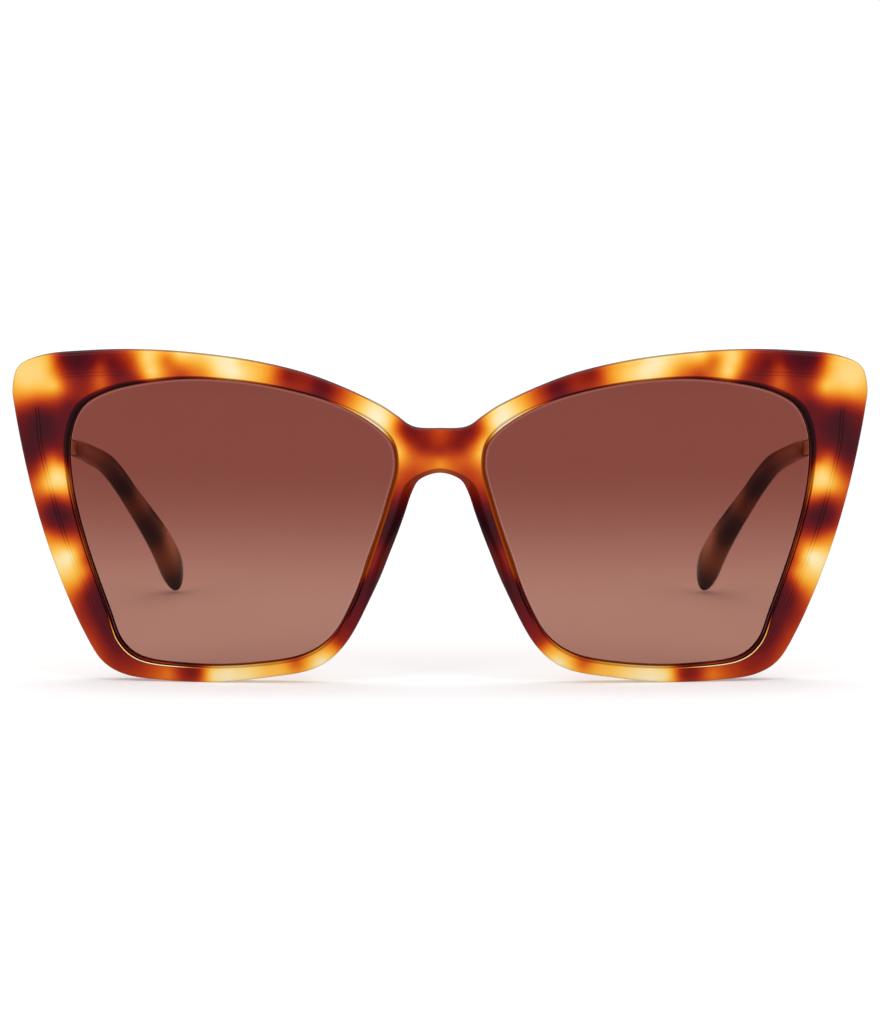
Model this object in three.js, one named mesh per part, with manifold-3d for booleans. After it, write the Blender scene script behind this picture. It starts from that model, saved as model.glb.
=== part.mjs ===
// Cat eye sunglasses: an acetate front with two tinted lenses and bonded nose pads, and two slim
// metal temples with acetate tips that fold on three-knuckle hinges.
// Millimetres, +Z up. The front looks along -Y and the temples run back along +Y. Left is the wearer's
// left, +X. While building, the middle of the front face touches Y = 0 and the rims stand on Z = 0.
import * as THREE from "three";
import { mergeVertices } from "three/addons/utils/BufferGeometryUtils.js";
import Module from "manifold-3d";

const wasm = await Module();
wasm.setup();

// ---- driving dimensions ----
const FACE_RADIUS = 330; // the front is bent round a vertical axis behind it
const FRONT_THICKNESS = 4.6;
const GAP = 0.3; // between pieces that touch on the real object
const LENS_DEPTH = 1.5; // from the front face to the lens
const LENS_THICKNESS = 2;
const LENS_BITE = 0.7; // how far the lens reaches into its groove
const STEPS_PER_POINT = 2; // of an outline
const BLANK = { width: 170, height: 80, below: 6, segments: 34 }; // bent sheet that the front is cut from
const CUT_DEPTH = 55; // of the prisms that cut through the bent front

// Outer outline of the front, wearer's left half, as [x, z] from the top of the bridge down to its underside.
const OUTLINE = [
  [0, 43.7], [4.6, 44], [7.3, 45.8], [10.2, 47.7], [20.9, 52.4], [30.6, 54.9], [41.5, 56.4],
  [51.2, 56.95], [60.5, 56.7], [68.5, 55.8], [72.4, 54], [73.5, 50.4], [73.2, 47], [70.6, 34],
  [67, 21.8], [61.4, 8.5], [58, 3.2], [54.2, 1.1], [47, 0.2], [42, 0], [38.5, 0], [30.4, 0.85],
  [21.2, 2.7], [16.8, 6.5], [13.1, 14.2], [9.8, 21.4], [7.6, 28.6], [5.9, 33], [4.4, 35.2], [0, 36.2],
];

// Visible edge of a lens in its rim, round the wearer's left eye.
const APERTURE = [
  [7.7, 37.5], [8.5, 41.4], [11.7, 44.5], [18, 47.9], [26.7, 50.4], [36, 51.8], [46, 51.8], [57, 49.6],
  [61.4, 46.8], [63.4, 42], [63.3, 34.3], [61.2, 24.7], [56.8, 11.9], [54.8, 6.8], [51.8, 4.2],
  [43.1, 2.9], [32, 3.2], [23.1, 4.9], [18.6, 8], [15.1, 14.1], [12, 22.6], [9.3, 30.8],
];

const PAD = { x: 10.1, z: 23, depth: 4.8, thick: 1.5, length: 10.6, width: 3.3, lean: 20, splay: 14 };

// The hinge's axis is vertical and stands behind the upper outer corner of the front.
const HINGE = { x: 66.2, y: 15.9, z: 43.4, knuckleRadius: 1.5, knuckle: 1.9, boreRadius: 0.85 };
const WEB = { frontWidth: 1.8, templeWidth: 2, overlap: 0.2 }; // joins a knuckle to its leaf
const BORE_CUT = 12; // longer than the three knuckles
const PLATE = { x: 66.1, width: 3.6, height: 12.4, thickness: 0.9 };
const LEAF = { thickness: 0.7, length: 10, height: 2.2, reach: 1.9, start: -1.2 };
const PIN = { radius: 0.55, headRadius: 1.25, headHeight: 0.7 };
const PLATE_SCREW = { radius: 0.5, headRadius: 0.9, headHeight: 0.5, length: 2.1, spread: 9.2 };

// The temple's line: the arm bows outwards a little, then the tip bends down and in behind the ear.
const ARM_LINE = [[69.8, 12.8, 43.7], [73, 48, 39.8], [69.1, 80, 34.4]];
const TIP_LINE = [
  [69.1, 80, 34.4], [67.4, 91, 32.4], [64.7, 102.5, 29.2], [60.8, 117, 21], [56.9, 131.5, 11.8],
  [54.1, 145, 2.56],
];
const ARM = { thickness: 1.2, height: 2.6, steps: 8 };
// The arm's tail, inside the tip: it starts a little way up the arm and runs a share of the tip's length.
const CORE = { thickness: 0.8, height: 1.2, root: 0.04, share: 0.8, steps: 12 };
const TIP = { steps: 20, sides: 14, bluntness: 0.75 };
// Half thickness, half height and height above the line, at shares of the tip's length.
const TIP_SECTIONS = [
  [0, 1.5, 1.6, 0], [0.3, 1.7, 1.85, 0], [0.5, 1.75, 1.95, 0], [0.66, 1.9, 2.7, 0], [0.82, 2.05, 3.6, 0.1],
  [0.92, 2.05, 3.7, 0], [0.97, 1.7, 2.9, -0.5], [1, 0.9, 1.8, -1.3],
];
const FLAT_AXIS = new THREE.Vector3(1, 0, 0);

// ---- materials ----
function material(color, roughness, metalness) {
  return new THREE.MeshStandardMaterial({ color, roughness, metalness });
}

const tortoise = material(0xc86a24, 0.15, 0);
const darkTortoise = material(0x6e3f24, 0.18, 0);
const gold = material(0xcfa765, 0.25, 1);
const steel = material(0xb9b6ae, 0.3, 1);
const tint = new THREE.MeshStandardMaterial({
  color: 0x90503f,
  roughness: 0.05,
  metalness: 0,
  transparent: true,
  opacity: 0.8,
});

// ---- solids ----
function solidOf(geometry) {
  const bare = geometry.clone();
  bare.deleteAttribute("normal");
  bare.deleteAttribute("uv");
  const merged = mergeVertices(bare, 1e-4);
  return new wasm.Manifold(new wasm.Mesh({
    numProp: 3,
    vertProperties: Float32Array.from(merged.attributes.position.array),
    triVerts: Uint32Array.from(merged.index.array),
  }));
}

function geometryOf(solid) {
  const mesh = solid.getMesh();
  const geometry = new THREE.BufferGeometry();
  geometry.setAttribute("position", new THREE.Float32BufferAttribute(mesh.vertProperties, 3));
  geometry.setIndex([...mesh.triVerts]);
  geometry.computeVertexNormals();
  return geometry;
}

function boxSolid(x, y, z, width, depth, height) {
  return solidOf(new THREE.BoxGeometry(width, depth, height).translate(x, y, z));
}

function rodSolid(x, y, z, radius, length, sides = 20) {
  const rod = new THREE.CylinderGeometry(radius, radius, length, sides).rotateX(Math.PI / 2);
  return solidOf(rod.translate(x, y, z));
}

// The same geometry on the wearer's right, with its faces still pointing out.
function mirrored(geometry) {
  const copy = geometry.clone().scale(-1, 1, 1);
  const index = copy.index.array;
  for (let i = 0; i < index.length; i += 3) {
    [index[i], index[i + 1]] = [index[i + 1], index[i]];
  }
  return copy;
}

// ---- outlines ----
function smoothLoop(points) {
  const curve = new THREE.CatmullRomCurve3(points.map(([x, z]) => new THREE.Vector3(x, z, 0)), true);
  const smooth = curve.getPoints(points.length * STEPS_PER_POINT).slice(0, -1);
  return smooth.map((p) => new THREE.Vector2(p.x, p.y));
}

function mirroredLoop(half) {
  return [...half, ...half.slice(1, -1).reverse().map(([x, z]) => [-x, z])];
}

// A closed loop grown outwards by a distance; the loop is counterclockwise.
function grown(loop, distance) {
  return loop.map((p, i) => {
    const before = loop[(i + loop.length - 1) % loop.length];
    const after = loop[(i + 1) % loop.length];
    const along = after.clone().sub(before).normalize();
    return new THREE.Vector2(p.x + along.y * distance, p.y - along.x * distance);
  });
}

function counterclockwise(loop) {
  return THREE.ShapeUtils.area(loop) > 0 ? loop : [...loop].reverse();
}

// A prism along Y with a closed loop of [x, z] points as its section, deep enough to cross the front.
function prism(loop, holes = []) {
  const shape = new THREE.Shape(loop);
  shape.holes = holes.map((hole) => new THREE.Path(hole));
  const geometry = new THREE.ExtrudeGeometry(shape, { depth: CUT_DEPTH, bevelEnabled: false, steps: 1 });
  return solidOf(geometry.rotateX(Math.PI / 2).translate(0, CUT_DEPTH / 2, 0));
}

// A sheet bent like the front, between two depths behind its face.
function bentSheet(near, far) {
  const { width, height, below, segments } = BLANK;
  const sheet = new THREE.BoxGeometry(width, far - near, height, segments, 1, 1);
  sheet.translate(0, (near + far) / 2, height / 2 - below);
  const position = sheet.attributes.position;
  for (let i = 0; i < position.count; i++) {
    const angle = position.getX(i) / FACE_RADIUS;
    const radius = FACE_RADIUS - position.getY(i);
    position.setX(i, radius * Math.sin(angle));
    position.setY(i, FACE_RADIUS - radius * Math.cos(angle));
  }
  return solidOf(sheet);
}

// Where a point on the front's back face lies, and how far the face has turned there.
function backFaceAt(x) {
  const angle = Math.asin(x / (FACE_RADIUS - FRONT_THICKNESS));
  return { angle, y: FACE_RADIUS - (FACE_RADIUS - FRONT_THICKNESS) * Math.cos(angle) };
}

// The rims are flat where they stand.
const standing = smoothLoop(mirroredLoop(OUTLINE)).map((p) => new THREE.Vector2(p.x, Math.max(p.y, 0)));
const outline = counterclockwise(standing);
const aperture = counterclockwise(smoothLoop(APERTURE));
const flipped = (loop) => counterclockwise(loop.map((p) => new THREE.Vector2(-p.x, p.y)));

// ---- hinge pieces, wearer's left ----
const plateHeights = [-1, 1].map((side) => HINGE.z + (side * PLATE_SCREW.spread) / 2);
const knuckleStep = HINGE.knuckle + GAP;

// Turns a solid made flat against X = PLATE.x, Y = 0 onto the front's back face.
function ontoBackFace(solid) {
  const { angle, y } = backFaceAt(PLATE.x);
  return solid
    .translate([-PLATE.x, 0, 0])
    .rotate([0, 0, THREE.MathUtils.radToDeg(angle)])
    .translate([PLATE.x, y, 0]);
}

// A cylinder along Y that stands on the front's back face, between two distances from it.
function studSolid(z, radius, near, far) {
  const stud = new THREE.CylinderGeometry(radius, radius, far - near, 12);
  return ontoBackFace(solidOf(stud.translate(PLATE.x, (near + far) / 2, z)));
}

function plateScrew(z) {
  const { radius, headRadius, headHeight, length } = PLATE_SCREW;
  const seat = 2 * GAP + PLATE.thickness;
  return studSolid(z, radius, seat - length, seat).add(studSolid(z, headRadius, seat, seat + headHeight));
}

function plateHole(z) {
  const { radius, length } = PLATE_SCREW;
  return studSolid(z, radius + GAP, GAP + PLATE.thickness - length, 2 * GAP + PLATE.thickness);
}

function hingePin() {
  const reach = 1.5 * HINGE.knuckle + GAP;
  const shank = rodSolid(HINGE.x, HINGE.y, HINGE.z + GAP / 2, PIN.radius, 2 * reach + GAP);
  const headZ = HINGE.z + reach + GAP + PIN.headHeight / 2;
  return shank.add(rodSolid(HINGE.x, HINGE.y, headZ, PIN.headRadius, PIN.headHeight));
}

function frontLeaf() {
  const { x, y, z, knuckleRadius, knuckle, boreRadius } = HINGE;
  const plateY = GAP + PLATE.thickness / 2;
  let leaf = ontoBackFace(boxSolid(PLATE.x, plateY, z, PLATE.width, PLATE.thickness, PLATE.height));
  const webStart = backFaceAt(PLATE.x).y + GAP + PLATE.thickness / 2;
  for (const side of [-1, 1]) {
    const level = z + side * knuckleStep;
    leaf = leaf.add(rodSolid(x, y, level, knuckleRadius, knuckle));
    leaf = leaf.add(boxSolid(x, (webStart + y) / 2, level, WEB.frontWidth, y - webStart, knuckle));
  }
  leaf = leaf.subtract(rodSolid(x, y, z, boreRadius, BORE_CUT));
  for (const height of plateHeights) leaf = leaf.subtract(plateHole(height));
  return leaf;
}

// ---- temple, wearer's left ----
const vectors = (points) => points.map((point) => new THREE.Vector3(...point));
const armLine = new THREE.QuadraticBezierCurve3(...vectors(ARM_LINE));
const tipLine = new THREE.CatmullRomCurve3(vectors(TIP_LINE));

// Moves a geometry whose long axis is Y from -0.5 to 0.5, with a unit section in X and Z, onto a curve.
// Past the curve's ends, it goes straight on.
function swept(geometry, curve, from, to, sizeAt) {
  const position = geometry.attributes.position;
  for (let i = 0; i < position.count; i++) {
    const share = position.getY(i) + 0.5;
    const place = from + share * (to - from);
    const onCurve = THREE.MathUtils.clamp(place, 0, 1);
    const tangent = curve.getTangentAt(onCurve);
    const across = FLAT_AXIS.clone().addScaledVector(tangent, -FLAT_AXIS.dot(tangent)).normalize();
    const up = across.clone().cross(tangent);
    const [half, tall, lift = 0] = sizeAt(share);
    const point = curve.getPointAt(onCurve);
    point.addScaledVector(tangent, (place - onCurve) * curve.getLength());
    point.addScaledVector(across, position.getX(i) * half);
    point.addScaledVector(up, position.getZ(i) * tall + lift);
    position.setXYZ(i, point.x, point.y, point.z);
  }
  return geometry;
}

function bar(curve, from, to, thickness, height, steps) {
  const box = new THREE.BoxGeometry(1, 1, 1, 1, steps, 1);
  return solidOf(swept(box, curve, from, to, () => [thickness, height]));
}

function templeLeaf() {
  const { x, y, z, knuckleRadius, knuckle, boreRadius } = HINGE;
  const { thickness, length, height, reach, start } = LEAF;
  const root = new THREE.Vector3(x + reach + thickness / 2, y + start, z);
  const bladeLine = new THREE.LineCurve3(root, root.clone().addScaledVector(armLine.getTangent(0), length));
  const blade = bar(bladeLine, 0, 1, thickness, height, 1);
  const web = boxSolid(x + reach / 2 + WEB.overlap, y, z, reach + 2 * WEB.overlap, WEB.templeWidth, knuckle);
  const leaf = rodSolid(x, y, z, knuckleRadius, knuckle).add(web).add(blade);
  return leaf.subtract(rodSolid(x, y, z, boreRadius, BORE_CUT));
}

function tipSize(share) {
  const last = Math.max(TIP_SECTIONS.findIndex(([place]) => place >= share - 1e-9), 1);
  const [a, ...sizeA] = TIP_SECTIONS[last - 1];
  const [b, ...sizeB] = TIP_SECTIONS[last];
  return sizeA.map((size, k) => THREE.MathUtils.lerp(size, sizeB[k], (share - a) / (b - a)));
}

function templeArm() {
  const arm = bar(armLine, 0, 1 - GAP / armLine.getLength(), ARM.thickness, ARM.height, ARM.steps);
  return arm.add(bar(tipLine, -CORE.root, CORE.share, CORE.thickness, CORE.height, CORE.steps));
}

function templeTip() {
  const sleeve = new THREE.CylinderGeometry(1, 1, 1, TIP.sides, TIP.steps);
  const position = sleeve.attributes.position;
  for (let i = 0; i < position.count; i++) {
    const [x, z] = [position.getX(i), position.getZ(i)];
    position.setX(i, Math.sign(x) * Math.abs(x) ** TIP.bluntness);
    position.setZ(i, Math.sign(z) * Math.abs(z) ** TIP.bluntness);
  }
  const { thickness, height, root, share, steps } = CORE;
  const bore = bar(tipLine, -root, share + 0.01, thickness + 2 * GAP, height + 2 * GAP, steps);
  return solidOf(swept(sleeve, tipLine, 0, 1, tipSize)).subtract(bore);
}

// ---- front, wearer's left where it has two ----
function lens() {
  const edge = prism(grown(aperture, LENS_BITE));
  return edge.intersect(bentSheet(LENS_DEPTH, LENS_DEPTH + LENS_THICKNESS));
}

function frontFrame() {
  let front = prism(outline, [aperture, flipped(aperture)]).intersect(bentSheet(0, FRONT_THICKNESS));
  const sheet = bentSheet(LENS_DEPTH - GAP, LENS_DEPTH + LENS_THICKNESS + GAP);
  for (const loop of [aperture, flipped(aperture)]) {
    front = front.subtract(prism(grown(loop, LENS_BITE + GAP)).intersect(sheet));
  }
  for (const height of plateHeights) {
    const hole = plateHole(height);
    front = front.subtract(hole).subtract(hole.mirror([1, 0, 0]));
  }
  return front;
}

function nosePad() {
  const { x, z, depth, thick, length, width, lean, splay } = PAD;
  const pad = new THREE.SphereGeometry(1, 16, 12).scale(thick, width, length);
  pad.rotateZ(THREE.MathUtils.degToRad(-splay));
  pad.rotateY(THREE.MathUtils.degToRad(-lean));
  pad.translate(x, depth, z);
  return solidOf(pad).subtract(bentSheet(-FRONT_THICKNESS, FRONT_THICKNESS + GAP));
}

// ---- assembly ----
const sunglasses = new THREE.Group();

function addMesh(name, geometry, look) {
  const mesh = new THREE.Mesh(geometry, look);
  mesh.name = name;
  sunglasses.add(mesh);
}

function addPair(name, solid, look) {
  const geometry = geometryOf(solid);
  addMesh(`${name}_left`, geometry, look);
  addMesh(`${name}_right`, mirrored(geometry), look);
}

addMesh("front_frame", geometryOf(frontFrame()), tortoise);
addPair("lens", lens(), tint);
addPair("nose_pad", nosePad(), tortoise);
addPair("hinge_front_leaf", frontLeaf(), gold);
addPair("hinge_leaf_screw_lower", plateScrew(plateHeights[0]), steel);
addPair("hinge_leaf_screw_upper", plateScrew(plateHeights[1]), steel);
addPair("hinge_temple_leaf", templeLeaf(), gold);
addPair("hinge_pin_screw", hingePin(), steel);
addPair("temple_arm", templeArm(), gold);
addPair("temple_tip", templeTip(), darkTortoise);

// The origin is under the middle of the whole object, on the surface that it stands on.
const bounds = new THREE.Box3().setFromObject(sunglasses);
sunglasses.position.set(0, -(bounds.min.y + bounds.max.y) / 2, -bounds.min.z);
sunglasses.updateMatrixWorld(true);

export default sunglasses;
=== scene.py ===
import math

import bmesh
import bpy
import numpy as np
from mathutils import Matrix, Vector, noise
from mathutils.geometry import delaunay_2d_cdt


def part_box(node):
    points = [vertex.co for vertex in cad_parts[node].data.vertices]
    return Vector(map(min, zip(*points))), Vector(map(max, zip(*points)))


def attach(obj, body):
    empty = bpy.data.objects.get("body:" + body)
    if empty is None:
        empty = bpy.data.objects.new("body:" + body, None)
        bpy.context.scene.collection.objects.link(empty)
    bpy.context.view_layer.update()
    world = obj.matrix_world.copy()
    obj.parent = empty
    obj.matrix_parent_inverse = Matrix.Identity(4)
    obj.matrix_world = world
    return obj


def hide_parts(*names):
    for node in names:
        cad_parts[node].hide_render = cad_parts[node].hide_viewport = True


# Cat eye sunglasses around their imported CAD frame. Lengths are millimetres until a mesh is made.
# The front looks along -Y, the temples run back along +Y, and left is the wearer's left, +X.
MM = 0.001
SIDES = {"left": 1, "right": -1}

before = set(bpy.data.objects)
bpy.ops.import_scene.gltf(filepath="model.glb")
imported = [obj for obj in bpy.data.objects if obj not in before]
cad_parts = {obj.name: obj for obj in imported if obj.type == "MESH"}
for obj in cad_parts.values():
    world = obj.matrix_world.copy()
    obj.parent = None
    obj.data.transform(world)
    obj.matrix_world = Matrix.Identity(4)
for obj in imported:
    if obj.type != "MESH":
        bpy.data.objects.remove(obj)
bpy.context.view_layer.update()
FACE_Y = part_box("front_frame")[0].y / MM  # the middle of the front face

# ---- driving dimensions, as in the CAD ----
FACE_RADIUS = 330
THICKNESS = 4.6
LENS_DEPTH = 1.5
LENS_THICKNESS = 2
LENS_BITE = 0.7

# Outer outline of the front, wearer's left half, as x, z from the top of the bridge down to its underside.
OUTLINE = [
    (0, 43.7), (4.6, 44), (7.3, 45.8), (10.2, 47.7), (20.9, 52.4), (30.6, 54.9), (41.5, 56.4),
    (51.2, 56.95), (60.5, 56.7), (68.5, 55.8), (72.4, 54), (73.5, 50.4), (73.2, 47), (70.6, 34),
    (67, 21.8), (61.4, 8.5), (58, 3.2), (54.2, 1.1), (47, 0.2), (42, 0), (38.5, 0), (30.4, 0.85),
    (21.2, 2.7), (16.6, 6.3), (11.9, 14.6), (7.6, 24.8), (6.1, 28.9), (4.7, 33), (3.5, 35), (0, 36.2),
]
# Visible edge of a lens in its rim, round the wearer's left eye.
APERTURE = [
    (7.7, 37.5), (8.5, 41.4), (11.7, 44.5), (18, 47.9), (26.7, 50.4), (36, 51.8), (46, 51.8), (57, 49.6),
    (61.4, 46.8), (63.4, 42), (63.3, 34.3), (61.2, 24.7), (56.8, 11.9), (54.8, 6.8), (51.8, 4.2),
    (43.1, 2.9), (32, 3.2), (23.1, 4.9), (18.6, 8), (15.1, 14.1), (12, 22.6), (9.3, 30.8),
]

PAD = {"x": 10.1, "z": 23, "depth": 4.8, "thick": 1.5, "length": 10.6, "width": 3.3, "lean": 20, "splay": 14}
PAD_SHAPE = {"rings": 28, "around": 32, "fullness": 0.9, "taper": 0.14}
HINGE = {"x": 66.2, "y": 15.9, "z": 43.4, "knuckle_radius": 1.5, "knuckle": 1.9}
PLATE = {"x": 66.1, "width": 3.6, "height": 12.4, "thickness": 0.9}
LEAF = {"thickness": 0.7, "length": 10, "height": 2.2, "reach": 1.9, "start": -1.2}
PIN = {"radius": 0.55, "head_radius": 1.25, "head_height": 0.7}
PLATE_SCREW = {"radius": 0.5, "head_radius": 0.9, "head_height": 0.5, "length": 2.1, "spread": 9.2}
GAP = 0.3
PLATE_TOP = GAP + PLATE["thickness"]
HINGE_FIT = {"half": 1.0, "bore": 0.62}  # half a knuckle's height, and its bore
WEB = {"front_width": 1.8, "temple_width": 2, "overlap": 0.4, "clear": 0.1, "rounding": 0.2}
HINGE_BEVEL = 0.15
SLOT = 0.28  # width of a screw head's slot

ARM_LINE = [(69.8, 12.8, 43.7), (73, 48, 39.8), (69.1, 80, 34.4)]
TIP_LINE = [
    (69.1, 80, 34.4), (67.4, 91, 32.4), (64.7, 102.5, 29.2), (60.8, 117, 21), (56.9, 131.5, 11.8),
    (54.1, 145, 2.56),
]
ARM = {"thickness": 1.2, "height": 2.6, "rounding": 0.35, "end": 0.004, "inset": 0.22}
CORE = {"thickness": 0.8, "height": 1.2, "rounding": 0.25, "root": 0.02, "share": 0.8}
TIP = {"sides": 40, "bluntness": 0.8, "blur": 0.03}  # blur: how far its sections run into each other
TIP_LENGTH, TIP_WIDTH = 75, 2.4  # of a tip, for its pattern
# Half thickness, half height and height above the line of a temple tip, at shares of its length.
TIP_SECTIONS = [
    (0, 1.2, 1.3, 0), (0.006, 1.44, 1.54, 0), (0.014, 1.5, 1.6, 0), (0.3, 1.7, 1.85, 0), (0.5, 1.75, 1.95, 0),
    (0.66, 1.9, 2.7, 0), (0.82, 2.1, 3.65, 0.15), (0.92, 2.25, 3.9, 0.2), (0.955, 2.15, 3.5, 0),
    (0.98, 1.7, 2.7, -0.6), (0.993, 1.1, 2.05, -1.1), (1, 0.4, 1.3, -1.35),
]

# ---- how finely the surfaces are made ----
EDGE_STEP = 0.5
CAP_STEP = 0.75
LENS_STEP = 2.2
ROUND_STEPS = 6
FILL_CLEARANCE = 0.55  # of a step, between a cap's inner points and its edges

# ---- edge shapes of the front ----
OUTER_ROUND = 0.6
BACK_ROUND = 0.6
FACET = {"width": 4.0, "drop": 0.3}  # the face falls away a little towards its outer edge
LIP = {"width": 1.6, "drop": 0.12}
# Width of the wall in front of a lens, by direction from the lens's middle in degrees, wearer's left.
LIP_WIDTHS = [
    (-180, 0.8), (-150, 0.85), (-120, 0.6), (-90, 0.45), (-70, 0.5), (-47, 0.75), (-20, 0.55), (10, 0.75),
    (36, 1.3), (60, 0.8), (90, 0.5), (130, 0.55), (146, 1.0), (158, 0.75), (180, 0.8),
]
# Rings near a lens's edge, as how far in they lie from its visible edge and how much they are lit up.
LENS_RINGS = ((0.55, 0), (0.38, 0), (0.22, 1), (0.06, 0.2), (-0.2, 0))
LIP_SHARES = (0, 0.12, 0.2, 0.28, 0.35, 0.42, 0.5, 0.56, 0.64, 0.72, 0.82, 0.91, 1)
GROOVE = {"start": 1.4, "end": 3.6, "depth": 0.8}
# Flare of the nose side: its size, its roundness, and where it lies. Under the bridge it is cut smaller and
# takes more painted shade.
NOTCH = {"width": 1.8, "depth": 1.9, "power": 1.08, "reach": 16, "top": 38, "legs": (11, 21)}
BRIDGE = {"heights": (33, 35.6), "cut": 0.9, "extra_painted_shade": 0.25}
LENS_CROWN = 0.45
LENS_EDGE = {"inset": 0.5, "bevel": 0.6}

# Painted light on that wall, at shares of its width from the face to the lens: a shift of the pattern's
# shade, negative where lighter lines are painted as highlights, and a darkening painted where the wall lies
# in shade. The shift is added to the pattern's shade there, except on the nose side.
WALL_PAINTED_LIGHT = {
    "dark": [
        (0, 0.05, 0.1), (0.2, 0.1, 0.65), (0.5, 0.2, 0.8), (0.7, 0.3, 0.95), (0.85, 0.25, 0.8),
        (1, 0.2, 0.6),
    ],
    "side": [
        (0, 0.1, 0.3), (0.2, 0.2, 0.9), (0.4, 0.15, 0.85), (0.55, -0.3, 0.5), (0.7, 0.1, 0.9),
        (1, 0, 0.4),
    ],
    "corner": [
        (0, 0, 0.1), (0.12, 0.1, 0.7), (0.28, -0.7, 0), (0.42, -0.7, 0), (0.5, 0.4, 1), (0.72, 0.4, 1),
        (0.82, 0, 0.6), (1, -0.1, 0.3),
    ],
    "low": [(0, 0, 0), (0.25, 0, 0.3), (0.5, 0.05, 0.65), (0.7, 0, 0.4), (0.85, 0, 0.2), (1, 0.1, 0.6)],
    "nose": [(0, 0.4, 0.8), (0.3, 0.35, 1), (0.6, 0.5, 1), (0.8, 0.45, 1), (1, 0.25, 1)],
    "pale": [
        (0, 0, 0.15), (0.2, 0, 0.45), (0.35, 0, 0.65), (0.47, 0, 0.3), (0.56, -0.1, 0), (0.72, -0.1, 0),
        (0.82, 0.3, 0.8), (1, 0.5, 0.8),
    ],
}
# Painted shade on the front's edges: how much the acetate is darkened over its outer rounding, its side walls
# and the nose flare, and the tint it takes there.
PAINTED_EDGE_SHADES = {"outline": 0.8, "side": 0.4, "flare": 0.62}
PAINTED_SHADE_FADES = {"outline": (0.4, 0.9), "flare": (0, 0.17)}  # shares of the rounding over which a shade comes in
PAINTED_SHADE_TINT = (0.28, 0.14, 0.1)  # what the acetate's colour is multiplied by where it is darkened
WING_LINES = {"distances": (3.1, 3.65), "drift": 0.6, "half_width": 0.15, "shade": (0.2, 0.14, 0.15)}

# Shades of the tortoise pattern at places on one half of the front: x, z and shade, 0 cream to 1 darkest.
SPOTS = [
    # outer corner
    (70, 53, 0.13), (72.3, 48.6, 0.4), (66, 50.6, 0.22), (67.3, 55, 0.26), (64, 50, 0.56),
    (69.5, 48, 0.58), (72.4, 45.8, 0.74), (70.6, 50.6, 0.17), (66.2, 53, 0.38), (64.2, 52.6, 0.66),
    # brow
    (62.6, 54.4, 0.9), (64.6, 55.6, 0.82), (60.4, 51.4, 0.72), (59.6, 54.6, 0.84), (58.2, 53.8, 0.62),
    (58, 51.2, 0.5), (56.2, 54.4, 0.8), (55.8, 52, 0.74), (53.6, 53.2, 0.76), (52.4, 55.4, 0.52),
    (51.6, 52, 0.66), (50.4, 55.8, 0.16), (49.2, 53, 0.14), (46.7, 55.2, 0.46), (44.4, 56.2, 0.16),
    (44, 53, 0.58), (41, 54.6, 0.28), (40.2, 52.6, 0.4), (37.4, 54.2, 0.06), (35, 53.4, 0.04),
    (33.6, 55.2, 0.18), (31.6, 52.8, 0.2), (29, 53.2, 0.36), (26, 53, 0.74), (23, 51.4, 0.7),
    (19.9, 50.2, 0.86), (17.3, 49.2, 0.62), (14.4, 48.5, 0.33), (11, 46.6, 0.02), (8.8, 45, 0.12),
    # bridge
    (7.6, 43.4, 0.44), (6, 44.4, 0.72), (5.6, 42.4, 0.7), (3.2, 42.6, 0.76), (0, 43, 0.58),
    (0, 41.4, 0.64), (3, 40.6, 0.74), (0, 40, 0.7), (6.9, 39.6, 0.22), (5.6, 40.6, 0.48),
    (3.2, 38.6, 0.52), (0, 38.4, 0.44), (0, 37.2, 0.38), (7.3, 41.6, 0.3),
    # nose side; its darkest shades, where the flare and the nose pads lie, are partly painted shade
    (4.2, 36.6, 0.58), (6.2, 36.6, 0.54), (6.4, 33.8, 0.64), (7, 31.4, 0.78), (7.6, 28.4, 0.97),
    (9, 25.6, 0.95), (10.2, 22.6, 0.76), (11.4, 19.8, 0.76), (12.6, 17.2, 0.92), (14.2, 13.6, 0.87),
    (16, 9.8, 0.79), (17.1, 7.4, 0.7), (18.2, 6.2, 0.4),
    # under the lens
    (20.2, 3.6, 0.03), (22.6, 3, 0.26), (24.6, 3.4, 0.52), (26.6, 2.6, 0.3), (29.2, 1.6, 0.2),
    (32.2, 1.8, 0.13), (36, 1.5, 0.05), (39.2, 1.4, 0.14), (41.6, 1.6, 0.73), (43.8, 1.5, 0.73),
    (46.4, 1.5, 0.45), (49.8, 1.6, 0.58), (53, 2.4, 0.7), (56, 4.4, 0.76),
    # temporal side
    (59.2, 4.6, 0.56), (57.4, 8, 0.84), (60.6, 8, 0.62), (59.6, 11.6, 0.84), (63.2, 11.4, 0.6),
    (60.4, 14.6, 0.82), (62.8, 14.4, 0.56), (60.2, 17, 0.72), (62.2, 16.8, 0.4), (61.4, 18.6, 0.36),
    (63.6, 18.6, 0.18), (63.6, 21.6, 0.05), (60.8, 20.8, 0.6), (66.6, 22.4, 0.2), (62.2, 24.2, 0.54),
    (64.6, 24.4, 0.5), (67.6, 25, 0.46), (64.4, 26.2, 0.8), (67, 26.6, 0.76), (64, 28.6, 0.9),
    (66.2, 29.4, 0.9), (68.6, 29.8, 0.7), (66, 31.2, 0.66), (69.6, 33.4, 0.48), (64.6, 33.8, 0.16),
    (64.6, 32, 0.42), (67, 33.6, 0.2), (67.2, 36, 0.28), (65.4, 36.4, 0.2), (69.6, 36, 0.66),
    (64.6, 38.3, 0.64), (66.4, 38.2, 0.48), (65.4, 40.2, 0.78), (69.4, 38.6, 0.86), (67.6, 42.2, 0.93),
    (71, 43, 0.9), (65, 44.2, 0.86), (68.6, 45.6, 0.92), (63.6, 47.8, 0.8), (66.8, 48, 0.62),
]
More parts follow.
